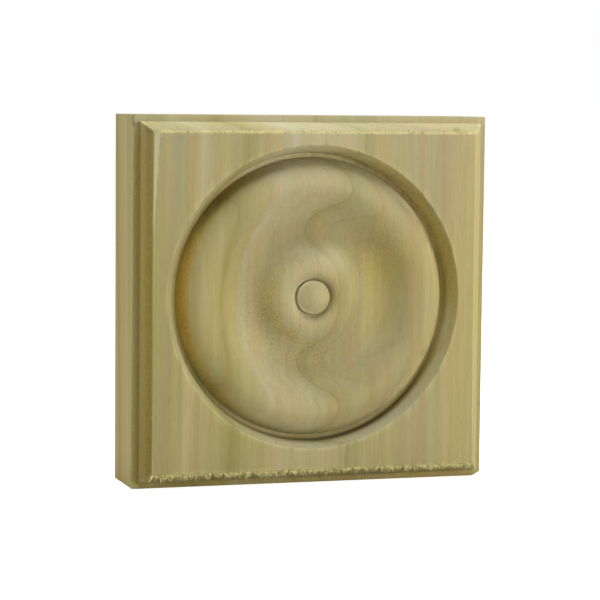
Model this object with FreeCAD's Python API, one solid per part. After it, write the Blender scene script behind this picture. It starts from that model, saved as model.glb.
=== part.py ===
"""Corner rosette block: a square block of poplar with a moulded edge and a turned bull's-eye.

One piece of wood. The four edges of the face are shaped with a thumbnail moulding that leaves a
flat shoulder, and a rosette cutter sinks the bull's-eye: a rounded wall, a narrow groove, a broad
ring, a deep hollow, a bead and a button at the centre.

Frame, in millimetres: the origin is the centre of the back face, which lies on the wall.
X runs to the right and Z up along the wall, Y runs into the wall, so the face looks towards -Y.
Depths are measured back from the face. Widths of the turning are measured along its radius.
"""

import FreeCAD, Part
import math
import os

from FreeCAD import Vector

# Block
block_side = 88.9
block_thickness = 22.2

# Moulded edge of the face
shoulder_width = 1.6
shoulder_depth = 4.75
edge_inset = 3.95

# Turning axis to the right of and above the middle of the block
axis_shift = -0.4
axis_rise = 0.9

# Flat face left between the edge moulding and the rim of the turning, were it in the middle
rim_margin = 3.8

# Wall that rounds over from the rim down to the groove
wall_width = 2.05
groove_width = 1.0
groove_depth = 4.9

# Broad ring: outside the crest its brow falls gently, then its shoulder drops to the groove
ring_shoulder_width = 6.0
ring_brow_width = 3.2
ring_brow_drop = 0.8
ring_crest_depth = 0.85

# Button at the centre, with a domed top
button_radius = 4.05
button_edge_depth = 1.5
button_top_depth = 0.35

# Bead around the button, and the fine quirk between the two
quirk_width = 0.35
quirk_depth = 2.8
bead_foot_depth = 2.4
bead_inner_width = 2.4
bead_crest_depth = 1.45

# Hollow between bead and ring: its level floor starts this far outside the crest of the bead
hollow_width = 8.9
hollow_floor_width = 0.4
hollow_depth = 5.1

# Flanks of the hollow: how many times as steep as the straight way down, between 1 and 2
flank_steepness = 1.6

# Room that a cutter takes past the block, so that no face is cut flush
overrun = 5.0


def tangent_arc(start, heading, end):
    """Arc that leaves start along heading and finishes at end."""
    chord = end - start
    side = chord - heading * chord.dot(heading)
    side.normalize()
    radius = chord.dot(chord) / (2 * chord.dot(side))
    centre = start + side * radius
    middle = (start - centre) + (end - centre)
    middle.normalize()
    return Part.Arc(start, centre + middle * radius, end).toShape()


def arriving(start, heading, end):
    """Direction in which that same arc comes in at end."""
    chord = end - start
    chord.normalize()
    return chord * (2 * chord.dot(heading)) - heading


def line(start, end):
    return Part.LineSegment(start, end).toShape()


def ogee(inner, outer):
    """Crest and hollow: two equal arcs, level at both ends, joined by a straight flank."""
    run = outer.x - inner.x
    fall = outer.y - inner.y
    flank = flank_steepness * math.atan2(abs(fall), run)
    radius = (run * math.tan(flank) - abs(fall)) / (2 / math.cos(flank) - 2)
    arc_end = Vector(radius * math.sin(flank), math.copysign(radius * (1 - math.cos(flank)), fall), 0)
    flank_start = inner + arc_end
    flank_end = outer - arc_end
    return [
        tangent_arc(inner, Vector(1, 0, 0), flank_start),
        line(flank_start, flank_end),
        tangent_arc(outer, Vector(-1, 0, 0), flank_end),
    ]


def face_point(across, depth):
    """Point of a section through the face, at that depth behind it."""
    return Vector(across, depth - block_thickness, 0)


def section_face(edges):
    return Part.Face(Part.Wire(Part.__sortEdges__(edges)))


def edge_cutter():
    """What the shaper takes off the right-hand edge: all outside the thumbnail and the shoulder."""
    half = block_side / 2
    outside = half + overrun
    arris = face_point(half - edge_inset, 0)
    crease = face_point(half - shoulder_width, shoulder_depth)
    shoulder_end = face_point(outside, shoulder_depth)
    before_arris = face_point(half - edge_inset, -overrun)
    before_shoulder = face_point(outside, -overrun)
    section = section_face(
        [
            tangent_arc(crease, Vector(0, -1, 0), arris),
            line(arris, before_arris),
            line(before_arris, before_shoulder),
            line(before_shoulder, shoulder_end),
            line(shoulder_end, crease),
        ]
    )
    length = block_side + 2 * overrun
    cutter = section.extrude(Vector(0, 0, length))
    cutter.translate(Vector(0, 0, -length / 2))
    return cutter


def rosette_section():
    """Half section of what the rosette cutter takes out, from its axis to the rim."""
    rim_radius = block_side / 2 - edge_inset - rim_margin
    wall_foot_radius = rim_radius - wall_width
    ring_foot_radius = wall_foot_radius - groove_width
    ring_crest_radius = ring_foot_radius - ring_shoulder_width
    ring_brow_radius = ring_crest_radius + ring_brow_width
    bead_foot_radius = button_radius + quirk_width
    bead_crest_radius = bead_foot_radius + bead_inner_width
    hollow_radius = bead_crest_radius + hollow_width
    hollow_end_radius = hollow_radius + hollow_floor_width

    rim = face_point(rim_radius, 0)
    wall_foot = face_point(wall_foot_radius, groove_depth)
    ring_foot = face_point(ring_foot_radius, groove_depth)
    ring_brow = face_point(ring_brow_radius, ring_crest_depth + ring_brow_drop)
    ring_crest = face_point(ring_crest_radius, ring_crest_depth)
    hollow_end = face_point(hollow_end_radius, hollow_depth)
    hollow = face_point(hollow_radius, hollow_depth)
    bead_crest = face_point(bead_crest_radius, bead_crest_depth)
    bead_foot = face_point(bead_foot_radius, bead_foot_depth)
    quirk = face_point(button_radius, quirk_depth)
    button_edge = face_point(button_radius, button_edge_depth)
    button_top = face_point(0, button_top_depth)
    before_axis = face_point(0, -overrun)
    before_rim = face_point(rim_radius, -overrun)
    outward = Vector(1, 0, 0)
    return section_face(
        [
            tangent_arc(wall_foot, Vector(0, -1, 0), rim),
            line(wall_foot, ring_foot),
            tangent_arc(ring_brow, arriving(ring_crest, outward, ring_brow), ring_foot),
            tangent_arc(ring_crest, outward, ring_brow),
            *ogee(hollow_end, ring_crest),
            line(hollow_end, hollow),
            *ogee(bead_crest, hollow),
            tangent_arc(bead_crest, -outward, bead_foot),
            line(bead_foot, quirk),
            line(quirk, button_edge),
            tangent_arc(button_top, outward, button_edge),
            line(button_top, before_axis),
            line(before_axis, before_rim),
            line(before_rim, rim),
        ]
    )


def rosette_cutter():
    cutter = rosette_section().revolve(Vector(0, 0, 0), Vector(0, 1, 0), 360)
    cutter.translate(Vector(axis_shift, 0, axis_rise))
    return cutter


def rosette_block():
    half = block_side / 2
    block = Part.makeBox(
        block_side, block_thickness, block_side, Vector(-half, -block_thickness, -half)
    )
    for quarter in range(4):
        cutter = edge_cutter()
        cutter.rotate(Vector(0, 0, 0), Vector(0, 1, 0), 90 * quarter)
        block = block.cut(cutter)
    return block.cut(rosette_cutter())


os.makedirs("parts", exist_ok=True)
rosette_block().exportStep("parts/rosette_block.step")
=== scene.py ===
import math
import random
from types import SimpleNamespace

import bpy
import numpy as np
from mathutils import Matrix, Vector, noise


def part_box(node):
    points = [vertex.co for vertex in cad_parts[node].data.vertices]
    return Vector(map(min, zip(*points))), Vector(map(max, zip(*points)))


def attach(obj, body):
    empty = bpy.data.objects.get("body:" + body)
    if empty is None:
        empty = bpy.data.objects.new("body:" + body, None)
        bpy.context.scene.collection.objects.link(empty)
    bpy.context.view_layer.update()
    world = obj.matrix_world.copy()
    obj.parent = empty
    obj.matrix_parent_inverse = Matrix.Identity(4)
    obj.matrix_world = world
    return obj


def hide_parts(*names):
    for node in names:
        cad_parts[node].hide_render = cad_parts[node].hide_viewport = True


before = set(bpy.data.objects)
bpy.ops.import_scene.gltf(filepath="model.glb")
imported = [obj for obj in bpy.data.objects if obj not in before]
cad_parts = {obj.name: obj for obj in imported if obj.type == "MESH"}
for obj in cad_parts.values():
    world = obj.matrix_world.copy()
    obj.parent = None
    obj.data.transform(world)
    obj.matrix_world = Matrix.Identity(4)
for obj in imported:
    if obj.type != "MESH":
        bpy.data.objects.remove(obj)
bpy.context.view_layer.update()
print("frame loaded, nodes:", sorted(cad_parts))

mm = 0.001
low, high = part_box("rosette_block")
halfSide = high.x / mm
faceY = low.y / mm  # the moulded face looks along -Y
backY = high.y / mm


# The moulded edge and the turning, in mm: depths go back from the face, widths run along the radius
blockShape = {
    "shoulderWidth": 1.6,
    "shoulderDepth": 4.75,
    "edgeInset": 3.95,
    "axisShift": -0.4,
    "axisRise": 0.9,
    "rimMargin": 3.8,
    "wallWidth": 2.05,
    "grooveWidth": 1.0,
    "grooveDepth": 4.9,
    "ringShoulderWidth": 6.0,
    "ringBrowWidth": 3.2,
    "ringBrowDrop": 0.8,
    "ringCrestDepth": 0.85,
    "buttonRadius": 4.05,
    "buttonEdgeDepth": 1.5,
    "buttonTopDepth": 0.35,
    "quirkWidth": 0.35,
    "quirkDepth": 2.8,
    "beadFootDepth": 2.4,
    "beadInnerWidth": 2.4,
    "beadCrestDepth": 1.45,
    "hollowWidth": 8.9,
    "hollowFloorWidth": 0.4,
    "hollowDepth": 5.1,
    "flankSteepness": 1.6,  # times the straight way down, between 1 and 2
}

# How finely the block is meshed and how much its arrises are eased, in mm
blockMesh = {
    "pointsPerSide": 140,
    "cornerSteps": 6,
    "cornerRadius": 0.22,
    "easing": 0.09,  # width of the soft rounding that sanding leaves on every arris
    "sampleStep": 0.01,
    "widestStep": 0.85,
    "arrisStep": 0.3,  # beside the rim and the edge arris
    "arrisDepth": 1.0,  # how far down that finer step goes
    "rimBand": 0.6,  # how far in from the rim it goes
    "edgeBand": 1.0,  # and how far out from the edge arris
    "steepestTurn": math.radians(9),
    "easedBand": 2.0,  # flat face meshed finely inside the edge arris
    "faceRings": 8,
    "backRings": 5,
    "sharpFrom": math.radians(40),
}

# What handling and the shaper did to this one block, in mm
blockWear = {
    "planedTop": 17.0,  # height from which the upper left arris is planed off
    "planedWidth": 1.5,  # how wide that flat is at the top corner
    "planedSlope": 0.2,
    "planedDepth": 0.8,
    "planedPast": 0.6,  # how far it runs out past the arris
    "planedFade": 0.15,
    "planedLean": 0.4,  # how far the arris leans in at that corner
    "leanBand": 1.6,
    "leanFade": 0.8,
    "leanDepth": 2.5,
    "mitreGap": 0.3,  # how far past the upper arris the planing runs
    "knockAcross": 1.9,  # lower right corner of the shoulder, knocked off
    "knockUp": 1.0,
    "knockBack": 3.0,
    "knockReach": 5.0,
    "nickPlace": (35.3, 0.7, 41.2),  # across, depth and height of the nick in the upper moulding
    "nickReach": 0.6,
    "nickDepth": 0.5,
    "nickDrive": (0, 0.6, -0.8),  # direction in which it was struck
    "crackFoot": 41.6,  # height at which the crack in the left shoulder starts
    "crackInset": 0.12,
    "ragged": 0.05,  # how far the end-grain arrises wander
    "raggedReach": 0.3,
    "raggedWaves": (0.9, 2.3),  # waves per mm, slow and quick
    "arrisReach": 0.24,  # width of the pale line along the arrises
    "fringeReach": 0.62,  # and along the lower one, where the fibre is torn
}
slack = {"fine": 0.02, "close": 0.05, "loose": 0.1}  # mm within which a point counts as lying on a face


def arcPath(start, heading, end, step=0.02):
    # circle that leaves start along heading and runs to end
    start, heading, end = (np.array(p, float) for p in (start, heading, end))
    chord = end - start
    side = chord - heading * chord.dot(heading)
    side /= np.linalg.norm(side)
    radius = chord.dot(chord) / (2 * chord.dot(side))
    centre = start + side * radius
    turn = 2 * math.asin(min(1.0, np.linalg.norm(chord) / (2 * radius)))
    if chord.dot(heading) < 0:
        turn = 2 * math.pi - turn
    angles = np.linspace(0, turn, max(3, int(turn * radius / step)))
    return centre - np.outer(np.cos(angles), side) * radius + np.outer(np.sin(angles), heading) * radius


def linePath(start, end, step=0.02):
    start, end = np.array(start, float), np.array(end, float)
    count = max(2, int(np.linalg.norm(end - start) / step))
    return start + np.outer(np.linspace(0, 1, count), end - start)


def ogeePath(inner, outer, steepness):
    # crest and hollow: two equal arcs joined by a straight flank
    run, fall = outer[0] - inner[0], outer[1] - inner[1]
    flank = steepness * math.atan2(abs(fall), run)
    radius = (run * math.tan(flank) - abs(fall)) / (2 / math.cos(flank) - 2)
    arcEnd = radius * np.array([math.sin(flank), math.copysign(1 - math.cos(flank), fall)])
    flankStart, flankEnd = np.array(inner) + arcEnd, np.array(outer) - arcEnd
    return [
        arcPath(inner, (1, 0), flankStart),
        linePath(flankStart, flankEnd),
        arcPath(outer, (-1, 0), flankEnd)[::-1],
    ]


def easedStations(pieces, mesh, finest):
    # joins the pieces of a section, rounds its corners, and picks stations where it turns or has run far
    step = mesh["sampleStep"]
    path = np.vstack(pieces)
    keep = np.r_[True, np.linalg.norm(np.diff(path, axis=0), axis=1) > 1e-6]
    path = path[keep]
    run = np.r_[0, np.cumsum(np.linalg.norm(np.diff(path, axis=0), axis=1))]
    even = np.arange(0, run[-1], step)
    path = np.column_stack([np.interp(even, run, path[:, k]) for k in (0, 1)])
    reach = int(mesh["easing"] / step)
    kernel = np.hanning(2 * reach + 3)[1:-1]
    kernel /= kernel.sum()
    padded = np.pad(path, ((reach, reach), (0, 0)), mode="reflect", reflect_type="odd")
    path = np.column_stack([np.convolve(padded[:, k], kernel, mode="valid") for k in (0, 1)])
    heading = np.unwrap(np.arctan2(*np.gradient(path, axis=0).T[::-1]))
    picked = [0]
    for k in range(1, len(path)):
        turned = abs(heading[k] - heading[picked[-1]]) > mesh["steepestTurn"]
        nearArris = finest[0] < path[k, 0] < finest[1] and path[k, 1] < mesh["arrisDepth"]
        far = (k - picked[-1]) * step > mesh["arrisStep" if nearArris else "widestStep"]
        if turned or far:
            picked.append(k)
    if picked[-1] != len(path) - 1:
        picked.append(len(path) - 1)
    return path[picked]


def endHeading(start, heading, end):
    # direction in which an arc that leaves start along heading comes in at end
    chord = np.array(end, float) - np.array(start, float)
    chord /= np.linalg.norm(chord)
    return 2 * chord * chord.dot(heading) - np.array(heading, float)


def turnedStations(shape, mesh):
    rim = halfSide - shape["edgeInset"] - shape["rimMargin"]
    wallFoot = (rim - shape["wallWidth"], shape["grooveDepth"])
    ringFoot = (wallFoot[0] - shape["grooveWidth"], shape["grooveDepth"])
    ringTop = (ringFoot[0] - shape["ringShoulderWidth"], shape["ringCrestDepth"])
    brow = (ringTop[0] + shape["ringBrowWidth"], shape["ringCrestDepth"] + shape["ringBrowDrop"])
    buttonTop = (0, shape["buttonTopDepth"])
    buttonEdge = (shape["buttonRadius"], shape["buttonEdgeDepth"])
    quirk = (shape["buttonRadius"], shape["quirkDepth"])
    beadFoot = (shape["buttonRadius"] + shape["quirkWidth"], shape["beadFootDepth"])
    beadTop = (beadFoot[0] + shape["beadInnerWidth"], shape["beadCrestDepth"])
    hollowIn = (beadTop[0] + shape["hollowWidth"], shape["hollowDepth"])
    hollowOut = (hollowIn[0] + shape["hollowFloorWidth"], shape["hollowDepth"])
    pieces = [
        arcPath(buttonTop, (1, 0), buttonEdge),
        linePath(buttonEdge, quirk),
        linePath(quirk, beadFoot),
        arcPath(beadTop, (-1, 0), beadFoot)[::-1],
        *ogeePath(beadTop, hollowIn, shape["flankSteepness"]),
        linePath(hollowIn, hollowOut),
        *ogeePath(hollowOut, ringTop, shape["flankSteepness"]),
        arcPath(ringTop, (1, 0), brow),
        arcPath(brow, endHeading(ringTop, (1, 0), brow), ringFoot),
        linePath(ringFoot, wallFoot),
        arcPath(wallFoot, (0, -1), (rim, 0)),
        linePath((rim, 0), (rim + 2.5 * mesh["easing"], 0)),  # a little face, so that the rim is eased too
    ]
    stations = easedStations(pieces, mesh, (rim - mesh["rimBand"], rim))
    stations[0, 0] = 0
    return stations


def edgeStations(shape, mesh):
    arris = halfSide - shape["edgeInset"]
    crease = (halfSide - shape["shoulderWidth"], shape["shoulderDepth"])
    thickness = backY - faceY
    pieces = [
        linePath((arris - mesh["easedBand"], 0), (arris, 0)),
        arcPath(crease, (0, -1), (arris, 0))[::-1],
        linePath(crease, (halfSide, shape["shoulderDepth"])),
        linePath((halfSide, shape["shoulderDepth"]), (halfSide, thickness)),
        linePath((halfSide, thickness), (halfSide - mesh["easedBand"], thickness)),
    ]
    return easedStations(pieces, mesh, (arris - mesh["easedBand"], arris + mesh["edgeBand"]))


def squareRing(half, mesh):
    # square outline with small round corners, counter-clockwise from the lower right corner
    radius = min(mesh["cornerRadius"], 0.3 * half)  # smaller on the small rings of the back
    straight = np.linspace(-1, 1, mesh["pointsPerSide"] - mesh["cornerSteps"] + 1) * (half - radius)
    turn = np.linspace(0, math.pi / 2, mesh["cornerSteps"] + 1)[1:-1]
    side = [np.column_stack([np.full_like(straight, half), straight])]
    side.append((half - radius) + radius * np.column_stack([np.cos(turn), np.sin(turn)]))
    side = np.vstack(side)
    quarter = np.array([[0.0, -1.0], [1.0, 0.0]])
    return np.vstack([side @ np.linalg.matrix_power(quarter, k).T for k in range(4)])


def circleRing(radius, mesh):
    count = 4 * mesh["pointsPerSide"]
    angles = (np.arange(count) + mesh["cornerSteps"] / 2) * 2 * math.pi / count - math.pi / 4
    return radius * np.column_stack([np.cos(angles), np.sin(angles)])


def blockRings(shape, mesh):
    # rings of points from the button's tip out over the face, round the edge and in to the back's middle
    axis = np.array([shape["axisShift"], shape["axisRise"]])
    rings, depths = [], []
    turned = turnedStations(shape, mesh)
    for radius, depth in turned[1:]:
        rings.append(circleRing(radius, mesh) + axis)
        depths.append(depth)
    edge = edgeStations(shape, mesh)
    for share in np.linspace(0, 1, mesh["faceRings"] + 2)[1:-1]:
        circle = circleRing(turned[-1, 0], mesh) + axis
        rings.append(circle * (1 - share) + squareRing(edge[0, 0], mesh) * share)
        depths.append(0)
    for half, depth in edge:
        rings.append(squareRing(half, mesh))
        depths.append(depth)
    for share in np.linspace(1, 0, mesh["backRings"] + 2)[1:-1]:
        rings.append(squareRing(edge[-1, 0] * share, mesh))
        depths.append(edge[-1, 1])
    return rings, depths, turned[0, 1]


def planedWidthAt(z, shape, wear):
    # how wide the planed flat on the upper left arris is at each height
    arris = halfSide - shape["edgeInset"]
    return wear["planedWidth"] * np.clip((z - wear["planedTop"]) / (arris - wear["planedTop"]), 0, 1)


def fromNick(verts, wear):
    across, back, height = wear["nickPlace"]
    away = np.linalg.norm(verts - np.array([across, faceY + back, height]), axis=1)
    return np.exp(-((away / wear["nickReach"]) ** 2))


def wearBlock(verts, shape, wear):
    # planes, knocks and nicks the block where the real one is hurt; verts are in mm and change in place
    arris = halfSide - shape["edgeInset"]
    x, z = verts[:, 0], verts[:, 2]
    depth = verts[:, 1] - faceY

    # end-grain arrises wander a little, because the cutter tears them
    away = (np.abs(z) - arris) ** 2 + depth**2
    nearArris = np.exp(-away / wear["raggedReach"] ** 2) * (np.abs(x) < arris)
    slow, quick = wear["raggedWaves"]
    for k in np.flatnonzero(nearArris > 0.05):
        tear = noise.noise((x[k] * slow, 0.0, math.copysign(7.0, z[k])))
        tear += noise.noise((x[k] * quick, 5.0, z[k]))
        verts[k, 1] += wear["ragged"] * nearArris[k] * (1 + tear)

    # the flat planed off the upper left arris, which leans in as it rises
    lean = planedWidthAt(z, shape, wear) / wear["planedWidth"] * wear["planedLean"]
    belowMitre = z < arris + wear["mitreGap"]
    fromBand = wear["leanBand"] - arris - x
    sway = lean * np.clip(fromBand / wear["leanFade"], 0, 1) * np.clip(1 - depth / wear["leanDepth"], 0, 1)
    verts[:, 0] += (fromBand > 0) * belowMitre * sway
    flat = (planedWidthAt(z, shape, wear) + lean - x - arris) * wear["planedSlope"]
    onFace = (x < 0) & (x > -arris - wear["planedPast"]) & belowMitre & (depth < wear["planedDepth"])
    verts[onFace, 1] = faceY + np.maximum(depth, flat)[onFace]

    # the corner of the shoulder, knocked off along a plane through three legs
    corner = np.array([halfSide, faceY + shape["shoulderDepth"], -halfSide])
    legs = np.diag([-wear["knockAcross"], wear["knockBack"], wear["knockUp"]])
    outward = np.cross(legs[1] - legs[0], legs[2] - legs[0])
    outward *= -np.sign(outward @ legs[0]) / np.linalg.norm(outward)
    proud = (verts - corner - legs[0]) @ outward
    close = np.linalg.norm(verts - corner, axis=1) < wear["knockReach"]
    verts -= np.outer(np.where(close, np.maximum(proud, 0), 0), outward)

    verts += np.outer(wear["nickDepth"] * fromNick(verts, wear), wear["nickDrive"])
    verts[:, 1] = np.clip(verts[:, 1], faceY, backY)


def near(reach, *gaps):
    # 1 where all the gaps are nought, fading over reach
    return np.exp(-sum(gap**2 for gap in gaps) / reach**2)


def placesOn(verts, shape):
    # where each point lies on the block and round the turning's axis, in mm
    x, z = verts[:, 0], verts[:, 2]
    depth = verts[:, 1] - faceY
    square = np.maximum(np.abs(x), np.abs(z))
    across, up = x - shape["axisShift"], z - shape["axisRise"]
    radius = np.hypot(across, up)
    arris = halfSide - shape["edgeInset"]
    rim = arris - shape["rimMargin"]
    wallFoot = rim - shape["wallWidth"]
    bead = shape["buttonRadius"] + shape["quirkWidth"] + shape["beadInnerWidth"]
    marks = {
        "button": shape["buttonRadius"],
        "bead": bead,
        "hollow": bead + shape["hollowWidth"],
        "ringFoot": wallFoot - shape["grooveWidth"],
        "wallFoot": wallFoot,
        "rim": rim,
    }
    return SimpleNamespace(
        x=x, z=z, depth=depth, square=square, across=across, up=up, radius=radius, arris=arris, marks=marks,
        toRight=across / np.maximum(radius, 1),
        toTop=up / np.maximum(radius, 1),
        turned=(square < arris) & (depth < shape["hollowDepth"] + slack["loose"]),
        onTop=z >= np.abs(x),
        onBottom=-z >= np.abs(x),
        onLeft=-x > np.abs(z),
    )


# Tints of the turning: painted warm shade, painted golden shade and painted shade where it faces away from
# the lights or lies deep, painted highlights and glints, and specked torn grain. A patch lies out from a
# mark of the section and fades over some mm, or fills a band of radii there, or lies round a place beside
# the axis. Its strength leans towards shares given as (always, to the right, upwards, both at once).
turningTints = {
    # painted warm shade: yellower where the turning faces away from the lights
    "wallWarmShade": {
        "tint": "paintedWarmShade", "strength": 1.0, "mark": "ringFoot", "band": (0.3, 0.31, 4.0, 4.01),
        "depths": (0.1, 6.0), "towards": [(0.07, 0.35, 0, 0.5)],
    },
    "ringWarmShade": {
        "tint": "paintedWarmShade", "strength": 0.6, "mark": "ringFoot", "band": (-3.2, -1.2, -0.03, -0.02),
        "towards": [(-0.3, -1.6, 0, 0)],
    },
    # painted golden shade on the left of the ring
    "ringGoldenShade": {
        "tint": "paintedGoldenShade", "strength": 1.0, "mark": "ringFoot", "band": (-3.2, -1.2, -0.03, -0.02),
        "towards": [(-4.44, -5.56, 0, 0)],
    },
    # painted warm shade in the hollow and on the bead
    "hollowWarmShade": {"tint": "paintedWarmShade", "strength": 0.45, "place": (19.0, 10.0), "fade": 8.0},
    "beadWarmShade": {
        "tint": "paintedWarmShade", "strength": 0.45, "mark": "bead", "out": 4.2, "fade": 1.5,
        "towards": [(-0.2, -1.2, -0.6, 0)],
    },
    # painted shade in the groove, at the wall's foot, in the hollow, on the ring's outer shoulder and beside
    # the button
    "grooveShade": {
        "tint": "paintedShade", "strength": 0.6, "mark": "ringFoot", "band": (-0.4, 0.0, 0.8, 1.0),
        "depths": (2.0, 6.0), "towards": [(0.5, 1.0, 0, 0)], "limits": (0.25, 1),
    },
    "wallFootShade": {
        "tint": "paintedShade", "strength": 1.0, "mark": "wallFoot", "out": 0.0, "fade": 0.5,
        "towards": [(0, 0, -1.2, 0)],
    },
    "hollowShade": {
        "tint": "paintedShade", "strength": 0.55, "mark": "hollow", "out": -0.2, "fade": 4.0,
        "towards": [(0, -0.71, 0.7, 0)],
    },
    "ringShade": {
        "tint": "paintedShade", "strength": 1.0, "mark": "ringFoot", "out": -1.35, "fade": 0.8,
        "towards": [(-15, -10, 13.3, 0)],
    },
    "buttonShade": {
        "tint": "paintedShade", "strength": 0.8, "mark": "button", "out": 0.8, "fade": 0.6,
        "towards": [(-0.3, 1.5, 0, 0)],
    },
    "hollowFuzz": {
        "tint": "fuzzy", "strength": 0.6, "mark": "hollow", "out": -1.7, "fade": 6.0,
        "towards": [(0.4, -0.5, -0.6, 0)], "limits": (0.15, 1),
    },
    # painted highlights: thin light lines along the groove, and painted light on its floor at the left and
    # on the ring's right shoulder
    "grooveTopHighlight": {
        "tint": "pale", "strength": 0.45, "mark": "wallFoot", "out": 0.0, "fade": 0.24,
        "depths": (3.0, 5.0), "towards": [(-1.5, 1.5, 2.5, 0)],
    },
    "grooveBottomHighlight": {
        "tint": "pale", "strength": 0.8, "mark": "ringFoot", "out": -0.3, "fade": 0.24,
        "depths": (3.0, 5.0), "towards": [(0, 0, -1, 0)],
    },
    "grooveLeftLight": {
        "tint": "pale", "strength": 0.9, "mark": "ringFoot", "out": 0.5, "fade": 0.45,
        "depths": (3.0, 5.0), "towards": [(-2.33, -3.33, 0, 0)],
    },
    "ringRightHighlight": {
        "tint": "pale", "strength": 1.0, "mark": "ringFoot", "out": -0.95, "fade": 1.0,
        "depths": (-1.0, 4.9), "towards": [(-1.04, 2.17, 0, 0)],
    },
    # painted glints
    "beadGlint": {
        "tint": "planedAndGlint", "strength": 0.42, "place": (5.6, 9.3), "fade": 3.74, "depths": (-1.0, 4.85),
    },
    "hollowGlint": {
        "tint": "planedAndGlint", "strength": 0.2, "place": (16.1, -13.3), "fade": 5.0, "depths": (-1.0, 4.85),
    },
    "quirkGlint": {
        "tint": "planedAndGlint", "strength": 1.0, "mark": "button", "band": (-0.15, -0.14, 0.64, 0.65),
        "towards": [(0, -1.5, 0, 0)], "limits": (0, 0.9),
    },
    "ringGlint": {
        "tint": "planedAndGlint", "strength": 0.7, "mark": "wallFoot", "out": 0.55, "climb": -3.6, "fade": 0.6,
        "depths": (-1.0, 4.9), "towards": [(-8, 6, 8, 0), (-3.33, 6.67, 0, 0)],
    },
    "wallFootGlint": {
        "tint": "planedAndGlint", "strength": 0.6, "mark": "wallFoot", "out": 0.55, "fade": 0.5,
        "depths": (-1.0, 5.0), "towards": [(-14.5, 16, 0, 0), (0.3, 0, -5.87, 0)],
    },
    "wallGlint": {
        "tint": "planedAndGlint", "strength": 0.4, "mark": "wallFoot", "band": (0.3, 0.31, 2.04, 2.05),
        "depths": (-1.0, 4.85), "towards": [(0, 2, 0, 0), (0.25, 0, -1.2, 0)],
    },
}


def patchShare(at, patch):
    # how strongly one patch of the turning tints each point
    share = patch["strength"] * at.turned
    if "place" in patch:
        across, up = patch["place"]
        share = share * near(patch["fade"], at.across - across, at.up - up)
    elif "band" in patch:
        share = share * np.interp(at.radius - at.marks[patch["mark"]], patch["band"], (0, 1, 1, 0))
    else:
        out = patch["out"] + patch.get("climb", 0) * at.toTop
        share = share * near(patch["fade"], at.radius - at.marks[patch["mark"]] - out)
    for always, right, top, both in patch.get("towards", []):
        lean = always + right * at.toRight + top * at.toTop + both * at.toRight * at.toTop
        share = share * np.clip(lean, *patch.get("limits", (0, 1)))
    if "depths" in patch:
        share = share * (at.depth > patch["depths"][0]) * (at.depth < patch["depths"][1])
    return share


# Tints of the moulded edge, as shares from 0 to 1: mostly painted warm shade, painted shade and painted
# highlight, with paler torn fibre along the arrises; reaches and depths in mm
edgeTints = {
    "leftThumbWarmShade": (0.75, 0.25),  # at its arris and at its crease
    "leftShoulderWarmShade": 0.7,
    "warmShadeFromTop": 9.0,  # how far below the top that painted warm shade is full
    "leastWarmShade": 0.2,
    "leftThumbShade": (0.9, 0.35),  # halfway up, and how much less at the top
    "bottomThumbShade": (0.5, 0.4),  # painted warm shade and painted shade
    "bottomShoulderShade": (0.25, 0.1),
    "rightEdgeShade": 0.7,
    "rightEdgeReach": 0.5,
    "rightEdgeDepths": (-0.3, 1.0),  # before and behind the shoulder
    "rimHighlight": 0.6,
    "upperArrisPale": 2.2,  # pale all along, from torn fibre and painted highlight
    "fringeDrop": 0.3,  # torn fibre hangs below the lower arris
    "leftEdgeHighlight": 0.8,
    "leftEdgeReach": 0.346,
    "topShoulderLight": 0.35,
    "leftShoulderLight": 0.15,
    "nickDark": 0.7,
}


def paintedShadeOnEdge(at, shape, tints):
    # painted warm shade and painted shade: yellower and darker on the left and lower mouldings, darker on
    # the sawn top end and along the right outer edge
    crease = halfSide - shape["shoulderWidth"]
    behind = at.depth - shape["shoulderDepth"]
    moulding = (at.square > at.arris - slack["fine"]) & (behind < slack["fine"])
    left, bottom = moulding & at.onLeft, moulding & at.onBottom
    onShoulder = at.square > crease + slack["close"]
    toCrease = np.clip((at.square - at.arris) / (crease - at.arris), 0, 1)
    atArris, atCrease = tints["leftThumbWarmShade"]
    thumbWarmShade = atArris + (atCrease - atArris) * toCrease
    fromTop = np.clip((halfSide - at.z) / tints["warmShadeFromTop"], tints["leastWarmShade"], 1)
    paintedWarmShade = left * fromTop * np.where(onShoulder, tints["leftShoulderWarmShade"], thumbWarmShade)
    middle, less = tints["leftThumbShade"]
    paintedShade = left * np.where(onShoulder, 0, (1 - toCrease) * (middle - less * at.z / halfSide))
    paintedWarmShade += bottom * np.where(onShoulder, tints["bottomShoulderShade"][0], tints["bottomThumbShade"][0])
    paintedShade += bottom * np.where(onShoulder, tints["bottomShoulderShade"][1], tints["bottomThumbShade"][1])
    paintedShade += (at.z > halfSide - slack["close"]) * (behind > slack["close"])  # painted shade on the sawn end on top
    before, after = tints["rightEdgeDepths"]
    rightEdge = (behind > before) & (behind < after)
    paintedShade += tints["rightEdgeShade"] * rightEdge * near(tints["rightEdgeReach"], halfSide - at.x)
    return paintedWarmShade, paintedShade


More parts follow.
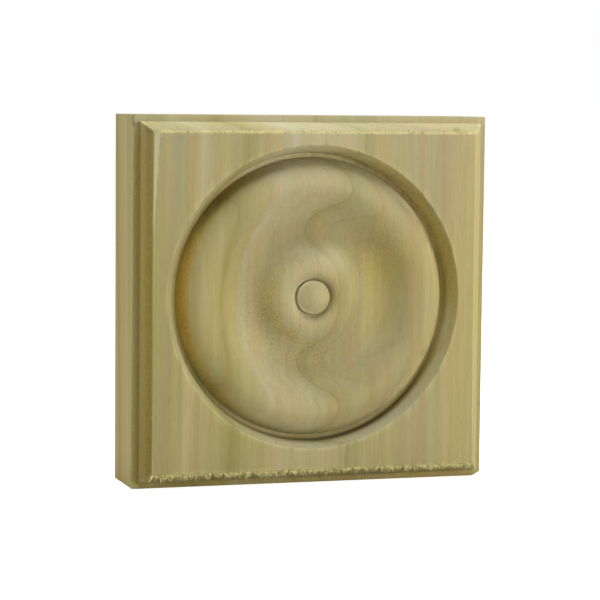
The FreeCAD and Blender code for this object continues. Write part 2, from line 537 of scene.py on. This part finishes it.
def paleFibreAndHighlightEdge(at, shape, wear, tints):
    # how close each point lies to the rim, an arris of the face, a mitre or the left edge: paler torn fibre
    # and painted highlight along the rim and the arrises, painted highlight along the mitres and the left
    # edge
    reach = np.where(at.onBottom, wear["fringeReach"], wear["arrisReach"])
    drop = np.where(at.onBottom, tints["fringeDrop"], 0)
    strength = np.where(at.onTop, tints["upperArrisPale"], 1)
    rim = tints["rimHighlight"] * near(wear["arrisReach"], at.radius - at.marks["rim"], at.depth)
    arris = strength * near(reach, at.square - at.arris - drop, at.depth - drop)
    onThumb = (at.square > at.arris) & (at.depth < shape["shoulderDepth"] - slack["loose"])
    mitreHighlight = onThumb * near(wear["arrisReach"], np.abs(at.x) - np.abs(at.z))
    belowCrack = at.onLeft & (at.z < wear["crackFoot"])
    leftEdge = near(tints["leftEdgeReach"], at.x + halfSide, at.depth - shape["shoulderDepth"])
    return np.maximum.reduce([rim, arris, mitreHighlight, tints["leftEdgeHighlight"] * belowCrack * leftEdge])


def planedFlatAndShoulderLight(at, shape, wear, tints):
    # 1 on the flat that was planed off the upper left arris; the shoulders get a little painted light too
    inside = (planedWidthAt(at.z, shape, wear) - at.x - at.arris) / wear["planedFade"]
    past = at.arris + slack["loose"]
    onFace = (at.x > -past) & (at.z < past) & (at.depth < wear["planedDepth"])
    shoulder = at.depth < shape["shoulderDepth"] + slack["loose"]
    top = shoulder & (at.z > halfSide - shape["shoulderWidth"])
    left = shoulder & (at.x < shape["shoulderWidth"] - halfSide)
    # painted light on the top and left shoulders
    pale = np.maximum(tints["topShoulderLight"] * top, tints["leftShoulderLight"] * left)
    return np.maximum(onFace * np.clip(inside, 0, 1), pale)


def crackedEdge(verts, at, shape, wear, tints):
    # the short crack at the top of the left shoulder, along its outer arris, and the inside of the nick
    fromCrack = at.x + halfSide - wear["crackInset"]
    crack = near(wear["arrisReach"], fromCrack, at.depth - shape["shoulderDepth"])
    return crack * (at.z > wear["crackFoot"]) + tints["nickDark"] * fromNick(verts, wear)


def tintBlock(verts, shape, wear, edge, turning):
    # share of each tint at each point: painted warm shade, painted shade, painted golden shade on the left
    # of the ring, specked torn grain, pale lines of torn fibre and painted highlight, and the lighter planed
    # flat with painted light and glints
    at = placesOn(verts, shape)
    paintedWarmShade, paintedShade = paintedShadeOnEdge(at, shape, edge)
    tints = {
        "paintedWarmShade": paintedWarmShade,
        "paintedShade": paintedShade,
        "paintedGoldenShade": np.zeros(len(verts)),
        "fuzzy": np.zeros(len(verts)),
        "pale": np.zeros(len(verts)),
        "planedAndGlint": planedFlatAndShoulderLight(at, shape, wear, edge),
        "cracked": crackedEdge(verts, at, shape, wear, edge),
    }
    for patch in turning.values():
        both = np.maximum if patch["tint"] == "planedAndGlint" else np.add
        tints[patch["tint"]] = both(tints[patch["tint"]], patchShare(at, patch))
    tints["fuzzy"] = tints["fuzzy"] + tints["paintedWarmShade"]
    tints["pale"] = np.maximum(tints["pale"], paleFibreAndHighlightEdge(at, shape, wear, edge))
    return tints


def buildBlock(shape, mesh, wear):
    rings, depths, tipDepth = blockRings(shape, mesh)
    count = len(rings[0])
    points = [np.column_stack([r[:, 0], np.full(count, faceY + d), r[:, 1]]) for r, d in zip(rings, depths)]
    tip = np.array([[shape["axisShift"], faceY + tipDepth, shape["axisRise"]]])
    middle = np.array([[0.0, backY, 0.0]])
    verts = np.vstack([tip, *points, middle])
    tints = tintBlock(verts, shape, wear, edgeTints, turningTints)
    wearBlock(verts, shape, wear)
    faces = []
    for k in range(count):
        nextK = (k + 1) % count
        faces.append((0, 1 + k, 1 + nextK))
        for ring in range(len(rings) - 1):
            a, b = 1 + ring * count, 1 + (ring + 1) * count
            faces.append((a + k, b + k, b + nextK, a + nextK))
        last = 1 + (len(rings) - 1) * count
        faces.append((last + nextK, last + k, len(verts) - 1))
    data = bpy.data.meshes.new("poplar_block")
    data.from_pydata((verts * mm).tolist(), [], faces)
    for name, values in tints.items():
        data.attributes.new(name, "FLOAT", "POINT").data.foreach_set("value", values.astype(np.float32))
    data.polygons.foreach_set("use_smooth", [True] * len(data.polygons))
    data.set_sharp_from_angle(angle=mesh["sharpFrom"])
    piece = bpy.data.objects.new("poplar_block", data)
    bpy.context.scene.collection.objects.link(piece)
    return piece


block = buildBlock(blockShape, blockMesh, blockWear)
print("block meshed:", len(block.data.vertices), "points,", len(block.data.polygons), "faces")


# Fibres that the cutters tore loose, as tufts of thin tapered strands; sizes in mm, headings and bends as
# shares across, back and up
tornFibres = {
    "fibres_lower_arris": {
        "tufts": 620, "strands": 6, "spread": 0.13,
        "length": (1.1, 2.8), "width": (0.08, 0.16), "clump": 3.2, "seed": 3,
        "side": -1, "lengthMiddle": 0.8, "lengthFall": 0.2,  # longest on the left
        "rootDepth": (0.1, 0.2), "rootRise": (-0.3, 0.0),
        "slant": 1.3, "leanBack": (0.0, 0.25), "leanUp": -1.0,
        "bendSlant": 0.7, "bendBack": (-0.4, 0.4), "bendUp": 0.0,
    },
    "fibres_upper_arris": {
        "tufts": 420, "strands": 4, "spread": 0.10,
        "length": (0.25, 0.75), "width": (0.06, 0.12), "clump": 3.4, "seed": 8,
        "side": 1, "lengthMiddle": 1.0, "lengthFall": 0.0,
        "rootDepth": (0.1, 0.18), "rootRise": (-0.02, 0.1),
        "slant": 2.5, "leanBack": (0.0, 0.3), "leanUp": 0.9,
        "bendSlant": 1.0, "bendBack": (-0.3, 0.2), "bendUp": -0.4,
    },
    "fibres_rim": {
        "tufts": 140, "strands": 3, "spread": 0.05,
        "length": (0.12, 0.35), "width": (0.04, 0.08), "clump": 5.0, "seed": 5,
        "angles": (195, 345), "rootDepth": (0.1, 0.18), "inset": 0.05,
        "inward": 0.5, "sideways": (-1, 1), "back": 0.3, "bend": (0, 0.2, 0.3),
    },
    "fibres_left_arris": {
        "tufts": 70, "strands": 3, "spread": 0.05,
        "length": (0.12, 0.4), "width": (0.04, 0.08), "clump": 9.0, "seed": 2,
        "rootDepth": (0.1, 0.2), "heights": (-1.0, 0.3),  # shares of the arris
        "leanBack": (0.0, 0.5), "leanUp": (-2.5, 2.5), "bendUp": (-0.6, 0.6),
        "hairHeights": (-11.7, -27.1), "hairDepth": 0.15, "hairLength": 0.95,  # two that stand out
        "hairHeading": (-1, 0.2, 0.25), "hairBend": (0, 0, 0.2),
    },
}
tuftShape = {"shortest": 0.45, "clumped": 0.7, "swayEvery": 1.3, "sway": 1.1, "stray": 0.35}
strandShape = {
    "sides": 4, "steps": 5, "thinning": 0.85, "fan": (0.12, 0.08), "lengths": (0.7, 1.1),
    "curl": (0.1, 0.5), "behindFace": 0.09,
}


def strandMesh(path, width, verts, faces):
    # a tube along the path that thins to its tip
    sides = strandShape["sides"]
    start = len(verts)
    for k, point in enumerate(path):
        ahead = Vector(path[min(k + 1, len(path) - 1)]) - Vector(path[max(k - 1, 0)])
        turn = ahead.to_track_quat("Z", "Y")
        thick = 0.5 * width * (1 - strandShape["thinning"] * k / (len(path) - 1))
        for s in range(sides):
            a = 2 * math.pi * s / sides
            verts.append(Vector(point) + turn @ Vector((math.cos(a), math.sin(a), 0)) * thick)
    for k in range(len(path) - 1):
        for s in range(sides):
            a, b = start + k * sides, start + k * sides + (s + 1) % sides
            faces.append((a + s, b, b + sides, a + s + sides))
    faces.append(tuple(start + s for s in reversed(range(sides))))
    faces.append(tuple(start + (len(path) - 1) * sides + s for s in range(sides)))


def strandPath(root, drift, length, bend, rng):
    # root and drift are (across, depth, height); the strand bends towards bend as it runs out
    path = [Vector(root)]
    heading = Vector(drift).normalized()
    for k in range(strandShape["steps"]):
        heading = (heading + Vector(bend) * rng.uniform(*strandShape["curl"])).normalized()
        path.append(path[-1] + heading * length / strandShape["steps"])
    return [(p.x, faceY + max(p.y, strandShape["behindFace"]), p.z) for p in path]


def clumpAt(place, spread, salt):
    # slow and quicker noise along an arris, about 0 to 1, that gathers the strands in clumps
    slow = noise.noise((place / spread, salt, 1.7))
    quicker = noise.noise((2.7 * place / spread, salt, 4.1))
    return 0.5 + 0.5 * slow + 0.25 * quicker


def tuftAt(name, kind, shape, rng):
    # root, heading, length and bend of one tuft; the three directions are (across, depth, height)
    arris = halfSide - shape["edgeInset"]
    place = rng.uniform(-arris, arris)
    clump = clumpAt(place, kind["clump"], kind["seed"])
    length = rng.uniform(*kind["length"]) * (tuftShape["shortest"] + tuftShape["clumped"] * max(clump, 0))
    slant = noise.noise((place / tuftShape["swayEvery"], 3.0, kind["seed"])) * tuftShape["sway"]
    slant += rng.uniform(-tuftShape["stray"], tuftShape["stray"])
    if name in ("fibres_lower_arris", "fibres_upper_arris"):
        edge = kind["side"] * arris
        root = (place, rng.uniform(*kind["rootDepth"]), edge + rng.uniform(*kind["rootRise"]))
        length *= kind["lengthMiddle"] - kind["lengthFall"] * place / arris
        heading = (slant * kind["slant"], rng.uniform(*kind["leanBack"]), kind["leanUp"])
        bend = (slant * kind["bendSlant"], rng.uniform(*kind["bendBack"]), kind["bendUp"])
    elif name == "fibres_left_arris":
        foot, top = (share * arris for share in kind["heights"])
        root = (-arris, rng.uniform(*kind["rootDepth"]), rng.uniform(foot, top))
        heading = (-1, rng.uniform(*kind["leanBack"]), rng.uniform(*kind["leanUp"]))
        bend = (0, 0, rng.uniform(*kind["bendUp"]))
    else:
        rim = arris - shape["rimMargin"]
        angle = math.radians(rng.uniform(*kind["angles"]))
        out = Vector((math.cos(angle), 0, math.sin(angle)))
        middle = Vector((shape["axisShift"], rng.uniform(*kind["rootDepth"]), shape["axisRise"]))
        root = middle + out * (rim - kind["inset"])
        heading = -out * kind["inward"] + Vector((rng.uniform(*kind["sideways"]), kind["back"], 0))
        bend = kind["bend"]
    return root, heading, length, bend


def addFibres(name, kind, shape):
    rng = random.Random(kind["seed"])
    tufts = [tuftAt(name, kind, shape, rng) for k in range(kind["tufts"])]
    for height in kind.get("hairHeights", ()):
        root = (shape["edgeInset"] - halfSide, kind["hairDepth"], height)
        tufts.append((root, kind["hairHeading"], kind["hairLength"], kind["hairBend"]))
    fanAcross, fanUp = strandShape["fan"]
    verts, faces = [], []
    for root, heading, length, bend in tufts:
        for k in range(kind["strands"]):
            apart = Vector([rng.gauss(0, kind["spread"]) for axis in range(3)])
            fanned = Vector(heading) + Vector((rng.gauss(0, fanAcross), 0, rng.gauss(0, fanUp)))
            strand = length * rng.uniform(*strandShape["lengths"])
            path = strandPath(Vector(root) + apart, fanned, strand, bend, rng)
            strandMesh(path, rng.uniform(*kind["width"]), verts, faces)
    data = bpy.data.meshes.new(name)
    data.from_pydata([v * mm for v in verts], [], faces)
    data.polygons.foreach_set("use_smooth", [True] * len(data.polygons))
    piece = bpy.data.objects.new(name, data)
    bpy.context.scene.collection.objects.link(piece)
    return piece


fibres = [addFibres(name, kind, blockShape) for name, kind in tornFibres.items()]
print("torn fibres:", {piece.name: len(piece.data.polygons) for piece in fibres})


def addNode(tree, kind, feeds=None, **options):
    # adds a shader node; feeds gives each input, by name or number, a value or the socket that drives it
    node = tree.nodes.new("ShaderNode" + kind)
    for key, value in options.items():
        setattr(node, key, value)
    for key, feed in (feeds or {}).items():
        if isinstance(feed, bpy.types.NodeSocket):
            tree.links.new(feed, node.inputs[key])
        else:
            node.inputs[key].default_value = feed
    return node


def sums(tree, operation, first, second, third=0.0, clamp=False):
    node = addNode(tree, "Math", {0: first, 1: second, 2: third}, operation=operation, use_clamp=clamp)
    return node.outputs[0]


def vectorSums(tree, operation, feeds):
    return addNode(tree, "VectorMath", feeds, operation=operation).outputs[0]


def blend(tree, mode, factor, first, second):
    node = addNode(tree, "Mix", {0: factor, 6: first, 7: second}, data_type="RGBA", blend_type=mode)
    return node.outputs[2]


def ramp(tree, feed, stops):
    node = addNode(tree, "ValToRGB", {0: feed})
    band = node.color_ramp
    while len(band.elements) < len(stops):
        band.elements.new(0.5)
    for element, (place, colour) in zip(band.elements, stops):
        element.position = place
    for element, (place, colour) in zip(band.elements, stops):
        element.color = (*colour, 1)
    return node.outputs[0]


# Raw poplar. The growth rings stand round the heart of the tree, which lies to the right behind the block,
# so the turning cuts them into the swirls. Sizes in mm, colours as the wood's own reflectance.
poplarWood = {
    "heartAcross": 55.5,
    "heartBehind": 128.0,
    "heartLean": 0.055,
    "tints": {
        "honey": (0.436, 0.362, 0.148),
        "mauve": (0.395, 0.328, 0.148),
        "tan": (0.412, 0.348, 0.148),
        "sage": (0.392, 0.334, 0.131),
        "cream": (0.466, 0.396, 0.186),
        "pale": (0.472, 0.410, 0.212),
        "straw": (0.424, 0.351, 0.139),
        "olive": (0.336, 0.286, 0.095),
        "ash": (0.372, 0.328, 0.147),
    },
    # tint of the wood at each distance from the heart
    "bands": [
        (126.0, "honey"), (129.4, "honey"), (130.4, "mauve"), (131.6, "mauve"), (132.8, "tan"),
        (134.3, "tan"), (135.3, "sage"), (136.3, "tan"), (137.4, "cream"), (141.8, "cream"),
        (142.8, "pale"), (144.6, "straw"), (145.4, "straw"), (146.5, "sage"), (148.4, "olive"),
        (149.8, "sage"), (151.8, "straw"), (153.2, "tan"), (154.3, "cream"), (155.7, "sage"),
        (156.8, "sage"), (157.3, "ash"), (158.2, "ash"), (159.2, "sage"), (166.0, "mauve"),
    ],
    # dark line at the end of each year's growth, and how strong it is
    "lines": [
        (129.5, 0.3), (131.0, 0.4), (133.4, 0.6), (135.95, 1.0), (137.8, 0.4), (139.7, 0.35), (148.4, 0.5),
    ],
    "lineRise": ((1.2, 0.0), (0.26, 0.3), (0.10, 1.0), (0.0, 0.0)),  # mm before its end, and how dark there
    "lineDark": 0.26,
    "lineTint": (0.25, 0.16, 0.10),
    "wander": 0.6,  # how far the growth rings wander
    "streaks": 0.30,
    "fibre": 0.18,
    "pores": 0.12,
    "poreRange": (0.60, 0.74),
    "hueBands": 0.6,
    "hueRange": (0.3, 0.7),
    "redHue": (0.55, 0.46, 0.42),
    "greenHue": (0.45, 0.54, 0.52),
    "drift": (1.04, 1.05, 1.24),  # painted light: bluer towards the top end of the block, where the overhead light falls
    "topLightHeights": (4.0, 40.0),
    "endGrain": (0.79, 0.83, 0.98),
    "endPores": 0.16,
    "endPoreRange": (0.50, 0.68),
    "speckle": 1.0,  # how blotchy the torn grain is
    # noise in features per mm, across, back and up along the grain
    "wanderNoise": (0.06, 0.06, 0.016),
    "hueNoise": (0.30, 0.30, 0.010),
    "streakNoise": (0.8, 0.8, 0.018),
    "fibreNoise": (4.2, 4.2, 0.16),
    "poreNoise": (6.5, 6.5, 0.45),
    "endPoreNoise": (3.0, 3.0, 0.5),
    "speckleNoise": (2.7, 2.7, 2.0),
    # painted warm shade, painted shade and painted golden shade, the dark crack and nick, pale torn fibre
    # with painted highlight, and the planed flat with painted light and glints
    "paintedWarmShade": (1.14, 1.02, 0.45),
    "paintedShade": (0.72, 0.70, 0.66),
    "paintedGoldenShade": (1.13, 0.97, 0.68),
    "cracked": (0.40, 0.36, 0.30),
    "pale": (0.64, 0.57, 0.24),
    "planedAndGlint": (0.62, 0.58, 0.34),
    "lightest": 0.75,  # most that the pale and planed tints cover
    "paleStreaks": (0.35, 0.6),  # part of the streaks over which the pale arrises come and go
    "roughness": (0.48, 0.2),  # least, and how much the fibre adds
    "specular": 0.07,
    "bump": 0.05,
    "bumpStrength": 0.35,
    "poreBump": 0.6,
}


def inMillimetres(tree):
    return vectorSums(tree, "SCALE", {0: addNode(tree, "TexCoord").outputs["Object"], 3: 1 / mm})


def makePoplar(wood):
    material = bpy.data.materials.new("raw poplar")
    material.use_nodes = True
    tree = material.node_tree
    shader = tree.nodes["Principled BSDF"]
    place = inMillimetres(tree)

    def grain(name, **settings):
        # noise drawn out along the grain
        stretched = vectorSums(tree, "MULTIPLY", {0: place, 1: wood[name]})
        return addNode(tree, "TexNoise", {"Vector": stretched, "Scale": 1.0, **settings}).outputs

    def fromRange(feed, limits):
        return addNode(tree, "MapRange", {0: feed, 1: limits[0], 2: limits[1]}).outputs[0]

    def cutShare(name):
        return addNode(tree, "Attribute", attribute_name=name).outputs["Fac"]

    def vary(feed, amount, level):
        # adds to the level what the noise has above or below its middle
        return sums(tree, "MULTIPLY_ADD", sums(tree, "SUBTRACT", feed, 0.5), amount, level)

    # distance from the heart, with a slow wander
    wander = vectorSums(tree, "SUBTRACT", {0: grain("wanderNoise", Detail=2.0)["Color"], 1: [0.5] * 3})
    wander = vectorSums(tree, "MULTIPLY_ADD", {0: wander, 1: [wood["wander"]] * 3, 2: place})
    parts = addNode(tree, "SeparateXYZ", {0: wander}).outputs
    lean = sums(tree, "MULTIPLY_ADD", parts["Z"], -wood["heartLean"], -wood["heartAcross"])
    across = sums(tree, "ADD", parts["X"], lean)
    behind = sums(tree, "SUBTRACT", parts["Y"], faceY + wood["heartBehind"])
    square = sums(tree, "MULTIPLY_ADD", across, across, sums(tree, "MULTIPLY", behind, behind))
    radius = sums(tree, "SQRT", square, 0.0)
    first, last = wood["bands"][0][0], wood["bands"][-1][0]
    share = sums(tree, "DIVIDE", sums(tree, "SUBTRACT", radius, first), last - first)

    # colour of each year's growth and the line that ends it
    tints = [((at - first) / (last - first), wood["tints"][tint]) for at, tint in wood["bands"]]
    colour = ramp(tree, share, tints)
    stops = []
    for at, strength in wood["lines"]:
        for back, dark in wood["lineRise"]:
            stops.append(((at - back - first) / (last - first), (dark * strength,) * 3))
    lines = sums(tree, "MULTIPLY", ramp(tree, share, stops), wood["lineDark"])
    colour = blend(tree, "MULTIPLY", lines, colour, (*wood["lineTint"], 1))

    # streaks along the grain, fine fibre and pores
    slow = grain("hueNoise", Detail=2.0)["Fac"]
    hues = ramp(tree, slow, list(zip(wood["hueRange"], (wood["redHue"], wood["greenHue"]))))
    colour = blend(tree, "SOFT_LIGHT", wood["hueBands"], colour, hues)
    streak = grain("streakNoise", Detail=3.0, Roughness=0.6)["Fac"]
    fine = grain("fibreNoise", Detail=2.0, Roughness=0.6)["Fac"]
    pore = fromRange(grain("poreNoise", Detail=1.0)["Fac"], wood["poreRange"])
    level = vary(streak, wood["streaks"], 1.0)
    level = vary(fine, wood["fibre"], level)
    level = sums(tree, "MULTIPLY_ADD", pore, -wood["pores"], level)

    # end grain drinks in more light and shows its pores, and torn grain is specked
    normal = addNode(tree, "NewGeometry").outputs["Normal"]
    upright = sums(tree, "ABSOLUTE", addNode(tree, "SeparateXYZ", {0: normal}).outputs["Z"], 0.0)
    dots = fromRange(grain("endPoreNoise", Detail=1.0)["Fac"], wood["endPoreRange"])
    level = sums(tree, "MULTIPLY_ADD", sums(tree, "MULTIPLY", upright, dots), -wood["endPores"], level)
    speckle = sums(tree, "SUBTRACT", grain("speckleNoise", Detail=2.0)["Fac"], 0.5)
    speckle = sums(tree, "MULTIPLY", speckle, cutShare("fuzzy"))
    level = sums(tree, "MULTIPLY_ADD", speckle, wood["speckle"], level)
    colour = blend(tree, "MULTIPLY", 1.0, colour, level)
    colour = blend(tree, "MULTIPLY", upright, colour, (*wood["endGrain"], 1))
    # painted light: bluer and a little lighter towards the top, except on end grain
    upper = fromRange(parts["Z"], wood["topLightHeights"])
    upper = sums(tree, "MULTIPLY", upper, sums(tree, "SUBTRACT", 1.0, upright), clamp=True)
    colour = blend(tree, "MULTIPLY", upper, colour, (*wood["drift"], 1))

    # painted warm shade, painted shade, painted golden shade and the dark crack and nick; then pale lines of
    # torn fibre and painted highlight, and the planed flat with painted light and glints
    for name in ("paintedWarmShade", "paintedShade", "paintedGoldenShade", "cracked"):
        colour = blend(tree, "MULTIPLY", cutShare(name), colour, (*wood[name], 1))
    pale = sums(tree, "MULTIPLY", cutShare("pale"), fromRange(streak, wood["paleStreaks"]), clamp=True)
    for name, share in (("pale", pale), ("planedAndGlint", cutShare("planedAndGlint"))):
        cover = sums(tree, "MULTIPLY", share, wood["lightest"])
        colour = blend(tree, "MIX", cover, colour, (*wood[name], 1))

    tree.links.new(colour, shader.inputs["Base Color"])
    least, added = wood["roughness"]
    tree.links.new(sums(tree, "MULTIPLY_ADD", fine, added, least), shader.inputs["Roughness"])
    shader.inputs["Specular IOR Level"].default_value = wood["specular"]
    height = sums(tree, "MULTIPLY_ADD", pore, -wood["poreBump"], fine)
    settings = {"Strength": wood["bumpStrength"], "Distance": wood["bump"] * mm, "Height": height}
    tree.links.new(addNode(tree, "Bump", settings).outputs[0], shader.inputs["Normal"])
    return material


# Torn fibre is paler and yellower than the cut face
fibreFinish = {
    "pale": (0.78, 0.71, 0.31),
    "dark": (0.46, 0.40, 0.15),
    "patches": 1.6,  # per mm
    "patchRange": (0.35, 0.6),
    "fineness": 14.0,
    "roughness": (0.6, 0.2),  # least, and how much the fine noise adds
    "specular": 0.25,
}


def makeTornFibre(finish):
    material = bpy.data.materials.new("torn poplar fibre")
    material.use_nodes = True
    tree = material.node_tree
    shader = tree.nodes["Principled BSDF"]
    place = inMillimetres(tree)
    patches = {"Vector": place, "Scale": finish["patches"], "Detail": 3.0}
    patch = addNode(tree, "TexNoise", patches).outputs["Fac"]
    colour = ramp(tree, patch, list(zip(finish["patchRange"], (finish["dark"], finish["pale"]))))
    tree.links.new(colour, shader.inputs["Base Color"])
    fine = addNode(tree, "TexNoise", {"Vector": place, "Scale": finish["fineness"]}).outputs["Fac"]
    least, added = finish["roughness"]
    tree.links.new(sums(tree, "MULTIPLY_ADD", fine, added, least), shader.inputs["Roughness"])
    shader.inputs["Specular IOR Level"].default_value = finish["specular"]
    return material


block.data.materials.append(makePoplar(poplarWood))
tornFibre = makeTornFibre(fibreFinish)
for piece in fibres:
    piece.data.materials.append(tornFibre)
print("materials made: raw poplar, torn poplar fibre")


# Camera at the photograph's angle
cameraPlace = {
    "location": (-177.72, -568.72, 49.43),  # mm
    "turn": (85.119, -0.58, -17.553),  # degrees
    "lens": 144.23,
    "sensor": 36,
    "clip": (0.01, 20),  # m
}


def addCamera(spot):
    data = bpy.data.cameras.new("camera")
    data.lens = spot["lens"]
    data.sensor_width = spot["sensor"]
    data.clip_start, data.clip_end = spot["clip"]
    camera = bpy.data.objects.new("camera", data)
    camera.location = Vector(spot["location"]) * mm
    camera.rotation_euler = [math.radians(a) for a in spot["turn"]]
    bpy.context.scene.collection.objects.link(camera)
    bpy.context.scene.camera = camera


addCamera(cameraPlace)


# Soft boxes: where each stands in metres, how large it is and how strongly it shines
studio = {
    "key": {
        "place": (0.384, -0.462, 0.08), "size": (0.27, 0.145), "power": 1.95, "colour": (0.98, 0.96, 1.0),
    },
    "overhead": {
        "place": (0.04, -0.14, 0.475), "size": (0.20, 0.15), "power": 1.98, "colour": (0.80, 0.86, 1.0),
    },
    "backRight": {
        "place": (0.48, 0.26, 0.84), "size": (0.40, 0.30), "power": 7.4, "colour": (0.87, 0.94, 1.0),
    },
    "backLeft": {
        "place": (-0.53, 0.27, 0.80), "size": (0.40, 0.30), "power": 6.5, "colour": (1.0, 0.90, 0.74),
    },
}
surroundings = {"colour": (1.0, 0.88, 0.62), "strength": 0.02, "backdrop": (1, 1, 1)}
# Floor paper: how far it is lifted to white near the block, and between which metres it goes all white
floorFinish = {"colour": (0.62, 0.61, 0.59), "lift": 0.90, "clearFrom": 0.10, "clearTo": 0.35, "size": 6.0}


def addSoftBox(name, box):
    data = bpy.data.lights.new(name, "AREA")
    data.shape = "RECTANGLE"
    data.size, data.size_y = box["size"]
    data.energy = box["power"]
    data.color = box["colour"]
    lamp = bpy.data.objects.new(name, data)
    lamp.location = box["place"]
    lamp.rotation_euler = Vector(box["place"]).to_track_quat("Z", "Y").to_euler()
    bpy.context.scene.collection.objects.link(lamp)


def seenRay(tree):
    # 1 for rays that show the background: straight from the camera, mirrored or through glass
    path = addNode(tree, "LightPath").outputs
    mirrored = sums(tree, "ADD", path["Is Glossy Ray"], path["Is Transmission Ray"])
    return sums(tree, "ADD", path["Is Camera Ray"], mirrored, clamp=True)


def addSurroundings(settings):
    world = bpy.data.worlds.new("studio")
    bpy.context.scene.world = world
    world.use_nodes = True
    tree = world.node_tree
    tree.nodes.clear()
    soft = addNode(tree, "Background", {"Color": (*settings["colour"], 1), "Strength": settings["strength"]})
    white = addNode(tree, "Background", {"Color": (*settings["backdrop"], 1), "Strength": 1.0})
    both = addNode(tree, "MixShader", {0: seenRay(tree), 1: soft.outputs[0], 2: white.outputs[0]})
    out = addNode(tree, "OutputWorld")
    tree.links.new(both.outputs[0], out.inputs["Surface"])


def addFloor(finish):
    half = finish["size"] / 2
    z = low.z
    data = bpy.data.meshes.new("floor")
    corners = [(-half, -half, z), (half, -half, z), (half, half, z), (-half, half, z)]
    data.from_pydata(corners, [], [(0, 1, 2, 3)])
    floor = bpy.data.objects.new("floor", data)
    bpy.context.scene.collection.objects.link(floor)
    material = bpy.data.materials.new("floor paper")
    material.use_nodes = True
    tree = material.node_tree
    tree.nodes.clear()
    paper = addNode(tree, "BsdfDiffuse", {"Color": (*finish["colour"], 1)})
    place = addNode(tree, "TexCoord").outputs["Object"]
    away = addNode(tree, "VectorMath", {0: place}, operation="LENGTH").outputs["Value"]
    limits = {0: away, 1: finish["clearFrom"], 2: finish["clearTo"], 3: finish["lift"], 4: 1.0}
    clear = addNode(tree, "MapRange", limits)
    lift = sums(tree, "MULTIPLY", seenRay(tree), clear.outputs[0])
    glow = addNode(tree, "Emission", {"Color": (1, 1, 1, 1), "Strength": lift})
    both = addNode(tree, "AddShader", {0: paper.outputs[0], 1: glow.outputs[0]})
    out = addNode(tree, "OutputMaterial")
    tree.links.new(both.outputs[0], out.inputs["Surface"])
    data.materials.append(material)


for name, box in studio.items():
    addSoftBox(name, box)
addSurroundings(surroundings)
addFloor(floorFinish)
bpy.context.scene.view_settings.view_transform = "Standard"
print("studio set:", len(studio), "soft boxes")

for piece in [block, *fibres]:
    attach(piece, "root")
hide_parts("rosette_block")
